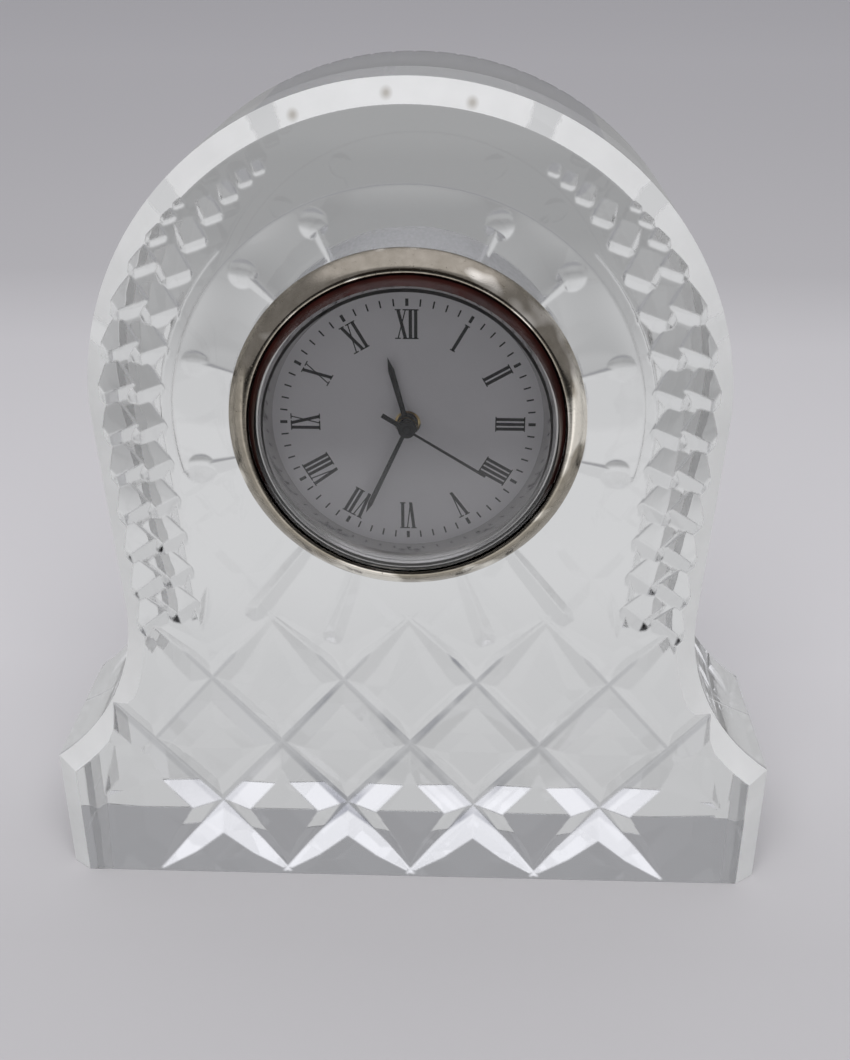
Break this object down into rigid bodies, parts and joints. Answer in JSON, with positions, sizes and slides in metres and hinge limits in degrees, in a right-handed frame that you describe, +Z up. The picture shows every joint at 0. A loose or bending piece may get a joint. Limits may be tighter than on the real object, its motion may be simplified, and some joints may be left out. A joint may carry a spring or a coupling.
{
  "type": "miniature crystal clock",
  "caption": "Small cut crystal arch with a flared foot and a round quartz clock set in its bore.",
  "frame": {"origin": "centre of the flat foot of the crystal block, under the middle of its width and depth", "axes": "+Z up, +Y from the dial to the back, +X to the right of someone who reads the dial"},
  "size_m": [0.063, 0.0194, 0.07],
  "materials": {
    "crystal": "clear, polished and wheel cut",
    "gold_plate": "polished pale gold plate",
    "clear_lens": "clear, polished, bevelled",
    "bright_ring": "bright turned metal",
    "dial_paint": "pale satin paint with black print",
    "hand_black": "black lacquer",
    "case_steel": "brushed",
    "grip_rubber": "ribbed rubber",
    "cell_steel": "plated cell can",
    "plate_plastic": "moulded",
    "bridge_brass": "stamped",
    "screw_steel": "plated",
    "magnet": "sintered magnet",
    "arbor_steel": "cut steel",
    "wheel_brass": "cut brass",
    "knob_plastic": "moulded black",
    "core_iron": "stamped soft iron",
    "coil_wire": "enamelled copper wire",
    "board_green": "solder mask",
    "can_steel": "drawn can",
    "chip_resin": "potting resin",
    "contact_brass": "spring strip"
  },
  "bodies": {
    "crystal": {"crystal_body": "crystal"},
    "insert": {"bezel": "gold_plate", "lens": "clear_lens", "reflector_ring": "bright_ring", "dial": "dial_paint", "movement_case": "case_steel", "grip_ring": "grip_rubber", "back_cover": "case_steel", "main_plate": "plate_plastic", "train_bridge": "bridge_brass", "bridge_screw_1": "screw_steel", "bridge_screw_2": "screw_steel", "bridge_screw_3": "screw_steel", "stator": "core_iron", "coil_core": "core_iron", "coil_winding": "coil_wire", "circuit_board": "board_green", "quartz_can": "can_steel", "driver_chip": "chip_resin", "negative_contact": "contact_brass", "positive_contact": "contact_brass"},
    "second_arbor": {"second_hand": "hand_black", "second_wheel": "wheel_brass"},
    "third_arbor": {"third_wheel": "wheel_brass"},
    "intermediate_arbor": {"intermediate_wheel": "wheel_brass"},
    "rotor": {"rotor_magnet": "magnet", "rotor_pinion": "arbor_steel"},
    "minute_arbor": {"minute_hand": "hand_black", "cannon_pinion": "arbor_steel", "centre_wheel": "wheel_brass"},
    "motion_arbor": {"motion_wheel": "wheel_brass"},
    "hour_arbor": {"hour_hand": "hand_black", "hour_wheel": "wheel_brass"},
    "set_arbor": {"set_pinion": "arbor_steel", "set_knob": "knob_plastic"},
    "hatch": {"battery_hatch": "case_steel"},
    "cell": {"battery": "cell_steel"}
  },
  "joints": [
    {"name": "insert_slide", "type": "slide", "parent": "crystal", "child": "insert", "axis": [0, -1, 0], "range_m": [0, 0.02]},
    {"name": "second_spin", "type": "hinge", "parent": "insert", "child": "second_arbor", "pos_m": [0, 0, 0.0448], "axis": [0, 1, 0], "continuous": true},
    {"name": "third_spin", "type": "hinge", "parent": "insert", "child": "third_arbor", "pos_m": [-0.0036, 0, 0.0448], "axis": [0, 1, 0], "continuous": true},
    {"name": "intermediate_spin", "type": "hinge", "parent": "insert", "child": "intermediate_arbor", "pos_m": [0.00331, 0, 0.04621], "axis": [0, 1, 0], "continuous": true},
    {"name": "rotor_spin", "type": "hinge", "parent": "insert", "child": "rotor", "pos_m": [0.00288, 0, 0.04978], "axis": [0, 1, 0], "continuous": true},
    {"name": "minute_spin", "type": "hinge", "parent": "insert", "child": "minute_arbor", "pos_m": [0, 0, 0.0448], "axis": [0, 1, 0], "continuous": true},
    {"name": "motion_spin", "type": "hinge", "parent": "insert", "child": "motion_arbor", "pos_m": [0.0018, 0, 0.04168], "axis": [0, 1, 0], "continuous": true},
    {"name": "hour_spin", "type": "hinge", "parent": "insert", "child": "hour_arbor", "pos_m": [0, 0, 0.0448], "axis": [0, 1, 0], "continuous": true},
    {"name": "set_spin", "type": "hinge", "parent": "insert", "child": "set_arbor", "pos_m": [0.0018, 0, 0.03808], "axis": [0, 1, 0], "continuous": true},
    {"name": "hatch_pull", "type": "slide", "parent": "insert", "child": "hatch", "axis": [0, 1, 0], "range_m": [0, 0.012]},
    {"name": "cell_pull", "type": "slide", "parent": "insert", "child": "cell", "axis": [0, 1, 0], "range_m": [0, 0.006]}
  ],
  "couplings": [
    {"joint": "third_spin", "follows": "second_spin", "ratio": -0.125},
    {"joint": "intermediate_spin", "follows": "second_spin", "ratio": -5},
    {"joint": "rotor_spin", "follows": "second_spin", "ratio": 30},
    {"joint": "minute_spin", "follows": "second_spin", "ratio": 0.016667},
    {"joint": "motion_spin", "follows": "second_spin", "ratio": -0.0055556},
    {"joint": "hour_spin", "follows": "second_spin", "ratio": 0.0013889},
    {"joint": "set_spin", "follows": "second_spin", "ratio": 0.016667},
    {"joint": "cell_pull", "follows": "hatch_pull", "ratio": 0.5}
  ]
}
